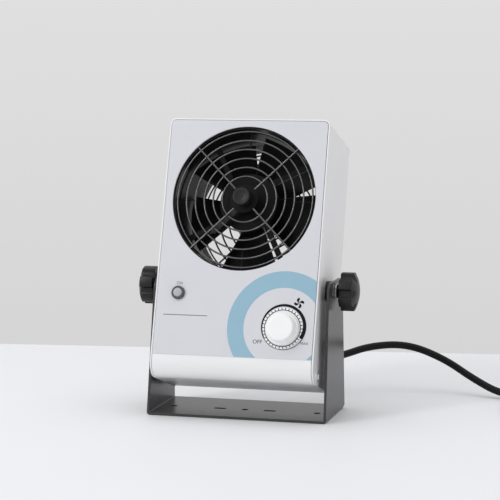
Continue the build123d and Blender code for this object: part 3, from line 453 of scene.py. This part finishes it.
def guardWires(forward):
    g = guardSetup
    shells = []
    for i in range(g["rings"]):
        shells.append(ringShell(g["firstRing"] + g["ringStep"] * i, g["ringWire"], forward - g["behind"]))
    inner, outer = g["disc"] - g["overlap"], g["corner"] * 2**0.5 - g["eyelet"]
    for angle in (45, 135, 225, 315):
        shells.append(rodShell(inner, outer, g["spokeWire"], radians(angle), forward))
    for a in (-1, 1):
        for b in (-1, 1):
            corner = (a * g["corner"], b * g["corner"])
            shells.append(ringShell(g["eyelet"], g["spokeWire"] * g["eyeletShare"], forward, corner, 32, 10))
    return shells


def guardDisc(forward):
    # flat ring round the middle knob's bush, its outer edges rounded
    g = guardSetup
    bore, edge, size = g["bore"], g["disc"], g["discRound"]
    back, face = forward - g["discHalf"], forward + g["discHalf"]
    backRound = roundedStep((bore, back), (edge, back), (edge, forward), size)
    faceRound = roundedStep((edge, forward), (edge, face), (bore, face), size)
    return [latheShell([(bore, back), *backRound, *faceRound, (bore, face), (bore, back)])]


for side in ("front", "rear"):
    wireName, bossName = side + "WireGuard", side + "GuardBoss"
    wireMesh = shellsToMesh(wireName, guardWires(guardSetup[side]))
    addPiece(wireName, wireMesh, finishes["guardWire"], "blower", (side + "_guard",))
    bossMesh = shellsToMesh(bossName, guardDisc(guardSetup[side]))
    addPiece(bossName, bossMesh, finishes["bossPlastic"], "blower")
print("guards made")

# clamp knobs: a deeply lobed head with softened edges and a shallow domed end, on a narrow hub
clampSetup = {
    "right": 0.0758, "left": 0.0725, "hub": 0.0055, "hubEdge": 0.0003, "hubLength": 0.0034,
    "shoulder": 0.004, "shoulderWeight": 0.3, "head": 0.0156, "length": 0.0110, "dome": 0.0034,
    "edge": 0.0007, "rim": 0.0009, "domeStart": 0.04, "grooveFade": 2.2,
    "lobes": 6, "grooveRadius": 0.0040, "grooveDepth": 0.0030, "turns": 240, "leftTurn": 13, "rightTurn": 0,
}


def clampProfile():
    # rows of radius, height and groove weight; the dome's fall grows with the square of the radius
    c = clampSetup
    hub, head, back = c["hub"], c["head"], c["hubLength"]
    front = back + c["length"]
    end = front + c["dome"]
    bend = np.linspace(0, pi / 2, 6)
    whole = 0 * bend + 1
    inward = np.linspace(c["domeStart"], 1, 20)
    stem = [(0.0, 0.0, 0.0), (hub - c["hubEdge"], 0.0, 0.0), (hub, c["hubEdge"], 0.0), (hub, back, 0.0),
            (hub + c["shoulder"], back, c["shoulderWeight"])]
    rearEdge = (head - c["edge"] + c["edge"] * np.sin(bend), back + c["edge"] * (1 - np.cos(bend)), whole)
    frontEdge = (head - c["rim"] * (1 - np.cos(bend)), front - c["rim"] * (1 - np.sin(bend)), whole)
    domed = ((head - c["rim"]) * (1 - inward), end - (end - front) * (1 - inward) ** 2,
             np.clip(1 - c["grooveFade"] * inward, 0, 1))
    return np.concatenate((stem, np.stack(rearEdge, 1), np.stack(frontEdge, 1), np.stack(domed, 1)))


def clampShell(start, outward, turned):
    # radius = profile radius minus groove weight times groove depth
    # groove depth: the gap between the head's circle and a smaller circle centred outside it, one per lobe
    c = clampSetup
    rows = clampProfile()
    angle = np.linspace(0, tau, c["turns"], endpoint=False)
    away = (angle - radians(turned) + pi / c["lobes"]) % (tau / c["lobes"]) - pi / c["lobes"]
    centre = c["head"] + c["grooveRadius"] - c["grooveDepth"]
    inside = np.clip(c["grooveRadius"] ** 2 - (centre * np.sin(away)) ** 2, 0, None)
    groove = np.clip(c["head"] - (centre * np.cos(away) - np.sqrt(inside)), 0, None) * (inside > 0)
    radius = rows[:, :1] - rows[:, 2:] * groove
    across = outward * (start + rows[:, 1:2]) + 0 * angle
    height = panelSetup["pivotHeight"] + radius * np.sin(angle)
    points = np.stack((across, radius * np.cos(angle), height), -1)
    return points, gridQuads(len(rows), c["turns"], closeColumns=True)


for hand, outward in (("left", -1), ("right", 1)):
    clampName, clampBody = hand + "ClampKnob", hand + "_clamp"
    clampShells = [clampShell(clampSetup[hand], outward, clampSetup[hand + "Turn"])]
    clampMesh = shellsToMesh(clampName, clampShells, sharp=50)
    clampNodes = (clampBody + "_knob",)
    addPiece(clampName, clampMesh, finishes["blackPlastic"], clampBody, clampNodes)
print("clamp knobs made")

# knob in the middle of the guard: short drum with softened rims and a shallow dish
cleanerSetup = {
    "radius": 0.0071, "back": 0.0316, "front": 0.0395, "backRound": 0.0004, "frontRound": 0.0010,
    "dish": ((0.0052, 0), (0.0048, 0.0001), (0.0040, 0.0006),  # radius and depth
             (0.0020, 0.00069), (0, 0.00072)),
}


def cleanerProfile():
    drum, back, front = cleanerSetup["radius"], cleanerSetup["back"], cleanerSetup["front"]
    backRound = roundedStep((0, back), (drum, back), (drum, front), cleanerSetup["backRound"])
    frontRound = roundedStep((drum, back), (drum, front), (0, front), cleanerSetup["frontRound"], 8)
    dish = [(radius, front - depth) for radius, depth in cleanerSetup["dish"]]
    return [(0, back), *backRound, *frontRound, *dish]


cleanerMesh = shellsToMesh("cleanerKnob", [latheShell(cleanerProfile())])
addPiece("cleanerKnob", cleanerMesh, finishes["blackPlastic"], "cleaner", ("cleaning_knob",))

# speed knob: tapered white cap on a notched skirt, hollow underneath over its nut
dialSetup = {
    "across": 0.0404, "up": -0.0371, "back": 0.0318, "front": 0.0423,
    "skirt": 0.0135, "skirtHeight": 0.0024, "backEdge": 0.0003, "skirtEdge": 0.0005, "soft": 0.0004,
    "base": 0.0119, "top": 0.0109, "flat": 0.006, "rim": 0.0014, "pocket": 0.0063, "pocketDepth": 0.0040,
    "notches": 36, "notchDepth": 0.0004, "turns": 288,
}


def dialShell():
    # radius = profile radius minus a notch: the square of a cosine's upper half, round the skirt only
    d = dialSetup
    back, front, skirt, soft, rim = d["back"], d["front"], d["skirt"], d["soft"], d["rim"]
    skirtTop = back + d["skirtHeight"]
    pocketTop = back + d["pocketDepth"]
    bend = np.linspace(0, pi / 2, 8)
    hollow = [(0.0, pocketTop, 0), (d["pocket"], pocketTop, 0), (d["pocket"], back, 0)]
    skirtRows = [(skirt - d["backEdge"], back, 1), (skirt, back + d["backEdge"], 1),
                 (skirt, skirtTop - d["skirtEdge"], 1), (skirt - soft, skirtTop, 1)]
    foot = [(d["base"] + soft, skirtTop, 0), (d["base"], skirtTop + soft, 0)]
    brow = np.stack((d["top"] - rim + rim * np.cos(bend), front - rim + rim * np.sin(bend), 0 * bend), 1)
    rows = np.concatenate((hollow, skirtRows, foot, brow, [(d["flat"], front, 0), (0.0, front, 0)]))
    angle = np.linspace(0, tau, d["turns"], endpoint=False)
    notch = d["notchDepth"] * np.clip(np.cos(angle * d["notches"]), 0, 1) ** 2
    radius = rows[:, :1] - rows[:, 2:] * notch
    across, up = d["across"] + radius * np.cos(angle), d["up"] + radius * np.sin(angle)
    points = panelPlace(across, up, rows[:, 1:2] + 0 * angle)
    return points, gridQuads(len(rows), d["turns"], closeColumns=True)


dialMesh = shellsToMesh("speedDialKnob", [dialShell()], sharp=40)
addPiece("speedDialKnob", dialMesh, finishes["whitePlastic"], "speed_dial", ("speed_knob",))
print("knobs made")

# print on the front film: flat inks a hair above it, each a grid of angle and radius or of across and up
inkLift = 0.00004


def inkPlace(across, up, layer=1):
    return panelPlace(across, up, panelSetup["face"] + inkLift * layer)


def arcShell(middle, start, end, inner, outer, steps=160, layer=1):
    # angle by radius grid: inner and outer are the same all round or one value per step
    angle = np.radians(np.linspace(start, end, steps))
    share = np.linspace(0, 1, 3)[:, None]
    radius = inner + (outer - inner) * share + 0 * angle
    points = inkPlace(middle[0] + radius * np.cos(angle), middle[1] + radius * np.sin(angle), layer)
    return points, gridQuads(share.size, steps)


def faceOut(mesh):
    # ink faces look out of the panel: turned where their normal points in
    bm = bmesh.new()
    bm.from_mesh(mesh)
    bm.normal_update()
    bmesh.ops.reverse_faces(bm, faces=[f for f in bm.faces if f.normal.dot(frontDir) < 0])
    bm.to_mesh(mesh)
    bm.free()
    return mesh


def addInk(name, mesh, ink):
    addPiece(name, faceOut(mesh), finishes[ink], "blower")


def addInkShells(name, shells, ink):
    addInk(name, shellsToMesh(name, shells, outward=False), ink)


# blue band: a ring cut off by the film's right and bottom edges
bandSetup = {
    "middle": (0.0404, -0.0361), "inner": 0.0321, "outer": 0.0455, "right": 0.0654, "bottom": -0.061,
    "margin": 0.0002, "least": 0.00001, "far": 9, "tiny": 1e-6,
}


def bandShell(start, end, steps=220):
    # outer radius is the smallest of the ring's and the distances to the film's right and bottom edges
    b = bandSetup
    across, up = b["middle"]
    angle = np.radians(np.linspace(start, end, steps))
    along, over, tiny = np.cos(angle), np.sin(angle), b["tiny"]
    toRight = np.where(along > tiny, (b["right"] - across) / np.maximum(along, tiny), b["far"])
    toBottom = np.where(over < -tiny, (b["bottom"] - up) / np.minimum(over, -tiny), b["far"])
    outer = np.minimum(b["outer"], np.minimum(toRight, toBottom) - b["margin"])
    return arcShell(b["middle"], start, end, b["inner"], np.maximum(outer, b["inner"] + b["least"]), steps)


rightEdge = np.degrees(np.arccos((bandSetup["right"] - bandSetup["middle"][0]) / bandSetup["inner"]))
bottomEdge = np.degrees(np.arcsin((bandSetup["middle"][1] - bandSetup["bottom"]) / bandSetup["inner"]))
bandShells = [bandShell(rightEdge, 180 + bottomEdge), bandShell(-bottomEdge, -rightEdge, 24)]
addInkShells("blueBand", bandShells, "printBlue")

# speed scale: a wedge that thickens clockwise, closed by a thin line
# inside it a white ring with ticks on a fine dark ring that is a painted shadow round the knob's base; layers
# keep the inks apart
scaleSetup = {
    "wedgeMiddle": (0.0411, -0.0354), "wedgeStart": 212, "wedgeEnd": -31, "wedgeOuter": 0.0184,
    "wedgeThin": 0.0009, "wedgeThick": 0.0031, "line": 0.0005, "wedgeSteps": 160, "lineSteps": 60,
    "tickMiddle": (0.0402, -0.0364), "white": 0.0166, "whiteInner": 0.0120, "lineInner": 0.0143,
    "tickInner": 0.0149, "tickOuter": 0.0164, "tickHalf": 1.1, "ticks": 34, "tickSteps": 3, "ringSteps": 161,
    "whiteLayer": 2, "blackLayer": 3,
}


def wedgeShells():
    s = scaleSetup
    middle, outer, start, end = s["wedgeMiddle"], s["wedgeOuter"], s["wedgeStart"], s["wedgeEnd"]
    thickness = s["wedgeThin"] + (s["wedgeThick"] - s["wedgeThin"]) * np.linspace(0, 1, s["wedgeSteps"])
    wedge = arcShell(middle, start, end, outer - thickness, outer, s["wedgeSteps"], s["blackLayer"])
    line = arcShell(middle, start, end + 360, outer - s["line"], outer, s["lineSteps"], s["blackLayer"])
    return [wedge, line]


def whiteShell():
    s = scaleSetup
    return arcShell(s["tickMiddle"], 0, 360, s["whiteInner"], s["white"], s["ringSteps"], s["whiteLayer"])


def tickShells():
    s = scaleSetup
    middle, inner, outer, half = s["tickMiddle"], s["tickInner"], s["tickOuter"], s["tickHalf"]
    shells = []
    for angle in np.arange(s["ticks"]) * 360 / s["ticks"]:
        span = (angle - half, angle + half)
        shells.append(arcShell(middle, *span, inner, outer, s["tickSteps"], s["blackLayer"]))
    # fine dark ring at the ticks' inner ends: painted shadow round the knob's base
    shells.append(arcShell(middle, 0, 360, s["lineInner"], inner, s["ringSteps"], s["blackLayer"]))
    return shells


addInkShells("speedWedge", wedgeShells(), "printBlack")
addInkShells("scaleRing", [whiteShell()], "printWhite")
addInkShells("scaleTicks", tickShells(), "printBlack")

# rule: a plain rectangle, across by up
ruleSetup = {"left": -0.059, "right": -0.0223, "low": -0.0292, "high": -0.0286}
ruleAcross = np.linspace(ruleSetup["left"], ruleSetup["right"], 6)
ruleUp = np.linspace(ruleSetup["low"], ruleSetup["high"], 2)
ruleShell = (inkPlace(*np.meshgrid(ruleAcross, ruleUp)), gridQuads(len(ruleUp), len(ruleAcross)))
addInkShells("ruleLine", [ruleShell], "printGrey")

# fan sign: four swept blades
signSetup = {
    "middle": (0.0523, -0.0158), "blades": 4, "hub": 0.0001, "tip": 0.0043, "start": 48, "sweep": 0.75,
    "half": 0.46, "close": 0.75, "widest": 0.9,
}


def bladeShell(index):
    # half width is full where twice the share along is at widest, and closes with the fourth power from there
    s = signSetup
    along = np.linspace(0, 1, 14)[:, None]
    across = np.linspace(-1, 1, 5)[None]
    radius = s["hub"] + (s["tip"] - s["hub"]) * along
    half = s["half"] * (1 - s["close"] * (2 * along - s["widest"]) ** 4)
    angle = radians(s["start"] + 360 / s["blades"] * index) - s["sweep"] * along + across * half
    right, up = s["middle"][0] + radius * np.cos(angle), s["middle"][1] + radius * np.sin(angle)
    return inkPlace(right, up), gridQuads(along.size, across.size)


addInkShells("fanSign", [bladeShell(i) for i in range(signSetup["blades"])], "printBlack")

# words: capitals of a given height
wordTable = {
    "lampMark": dict(word="ON", height=0.0024, across=-0.0474, up=-0.0031, ink="printGrey"),
    "offMark": dict(word="OFF", height=0.0031, across=0.0206, up=-0.0481, ink="printBlack"),
    "fullMark": dict(word="MAX", height=0.0021, across=0.0587, up=-0.0480, ink="printBlack"),
}
capitalShare = 0.7  # height of a capital for a letter size of one


def wordMesh(name, word, height, across, up):
    # letters made flat by the font, then scaled and set on the panel by their own x and y
    curve = bpy.data.curves.new(name + "Curve", "FONT")
    curve.body = word
    curve.align_x = "CENTER"
    curve.align_y = "CENTER"
    curve.size = 1.0
    holder = bpy.data.objects.new(name + "Holder", curve)
    scene.collection.objects.link(holder)
    bpy.context.view_layer.update()
    mesh = bpy.data.meshes.new_from_object(holder.evaluated_get(bpy.context.evaluated_depsgraph_get()))
    bpy.data.objects.remove(holder)
    flat = np.empty(len(mesh.vertices) * 3, np.float32)
    mesh.vertices.foreach_get("co", flat)
    flat = flat.reshape(-1, 3).astype(float)
    size = height / capitalShare
    points = inkPlace(across + flat[:, 0] * size, up + flat[:, 1] * size)
    mesh.vertices.foreach_set("co", points.astype(np.float32).ravel())
    mesh.update()
    mesh.name = name
    return mesh


for wordName, w in wordTable.items():
    addInk(wordName, wordMesh(wordName, w["word"], w["height"], w["across"], w["up"]), w["ink"])
print("print made")

# stage: pale table that ends behind the object, wall from the world colour
stageSetup = {
    "table": (0.86, 0.86, 0.872), "near": -2, "half": 3, "backEdge": 1.811, "skew": -0.128, "drop": -0.0002,
    "wallHigh": (0.749, 0.742, 0.746), "wallLow": (0.672, 0.665, 0.670), "wallSpan": (-0.17, 0.02),
    "fillTone": (0.97, 0.98, 1.0, 1), "fillLeft": 0.98, "fillRight": 0.58,
}


def tableCorners():
    # steps ahead of and beside the point under the camera; the back edge slants by skew
    turn = radians(cameraSetup["turn"])
    sightDir = np.array((-sin(turn), cos(turn), 0))
    rightDir = np.array((cos(turn), sin(turn), 0))
    underCamera = np.array((cameraSetup["place"][0], cameraSetup["place"][1], stageSetup["drop"]))
    near, half, back = stageSetup["near"], stageSetup["half"], stageSetup["backEdge"]
    slant = half * stageSetup["skew"]
    steps = ((near, -half), (near, half), (back + slant, half), (back - slant, -half))
    return [(underCamera + sightDir * ahead + rightDir * aside).tolist() for ahead, aside in steps]


floorMesh = bpy.data.meshes.new("table")
floorMesh.from_pydata(tableCorners(), [], [(0, 1, 2, 3)])
floorMesh.materials.append(makeFinish("tablePaper", tone=stageSetup["table"], shift=0.006, patch=6, grain=500,
                                      depth=0.00001, rough=(0.55, 0.65)))
floor = bpy.data.objects.new("table", floorMesh)
scene.collection.objects.link(floor)

world = bpy.data.worlds.new("studio")
scene.world = world
world.use_nodes = True
tree = world.node_tree
way = tree.nodes.new("ShaderNodeTexCoord")
wayParts = tree.nodes.new("ShaderNodeSeparateXYZ")
tree.links.new(way.outputs["Generated"], wayParts.inputs[0])
wall = tree.nodes.new("ShaderNodeBackground")  # what is seen, also in reflections
wallShare = addRange(tree, wayParts.outputs["Z"], 0, 1, *stageSetup["wallSpan"])
wallStops = ((0, stageSetup["wallLow"]), (1, stageSetup["wallHigh"]))
tree.links.new(addRamp(tree, wallShare, wallStops), wall.inputs["Color"])
fill = tree.nodes["Background"]  # what lights the object
fill.inputs["Color"].default_value = stageSetup["fillTone"]
fillPower = addRange(tree, wayParts.outputs["X"], stageSetup["fillLeft"], stageSetup["fillRight"], -1, 1)
tree.links.new(fillPower, fill.inputs["Strength"])
rays = tree.nodes.new("ShaderNodeLightPath")
seen = rays.outputs["Is Camera Ray"]
for kind in ("Is Glossy Ray", "Is Transmission Ray"):
    either = tree.nodes.new("ShaderNodeMath")
    either.operation = "MAXIMUM"
    tree.links.new(seen, either.inputs[0])
    tree.links.new(rays.outputs[kind], either.inputs[1])
    seen = either.outputs[0]
mix = tree.nodes.new("ShaderNodeMixShader")
tree.links.new(seen, mix.inputs["Fac"])
tree.links.new(fill.outputs[0], mix.inputs[1])
tree.links.new(wall.outputs[0], mix.inputs[2])
tree.links.new(mix.outputs[0], tree.nodes["World Output"].inputs["Surface"])

lampTable = {
    "keyLamp": dict(place=(-1.1, -1.3, 1.3), aim=(0, 0, 0.12), wide=0.35, tall=1.3, power=10),
    "topLamp": dict(place=(0.2, 0.1, 1.6), aim=(0, 0, 0.1), wide=1.2, tall=1.2, power=4),
    "sideLamp": dict(place=(1.6, -0.5, 0.9), aim=(0, 0, 0.12), wide=0.25, tall=1.0, power=0.4),
}
for lampName, lamp in lampTable.items():
    data = bpy.data.lights.new(lampName, "AREA")
    data.shape = "RECTANGLE"
    data.size, data.size_y = lamp["wide"], lamp["tall"]
    data.energy = lamp["power"]
    lampObject = bpy.data.objects.new(lampName, data)
    lampObject.location = lamp["place"]
    aim = np.array(lamp["aim"]) - np.array(lamp["place"])
    lampTilt = np.arctan2(np.hypot(aim[0], aim[1]), -aim[2])
    lampObject.rotation_euler = (lampTilt, 0, np.arctan2(-aim[0], aim[1]))
    scene.collection.objects.link(lampObject)
print("stage lit")

scene.view_settings.view_transform = "Standard"
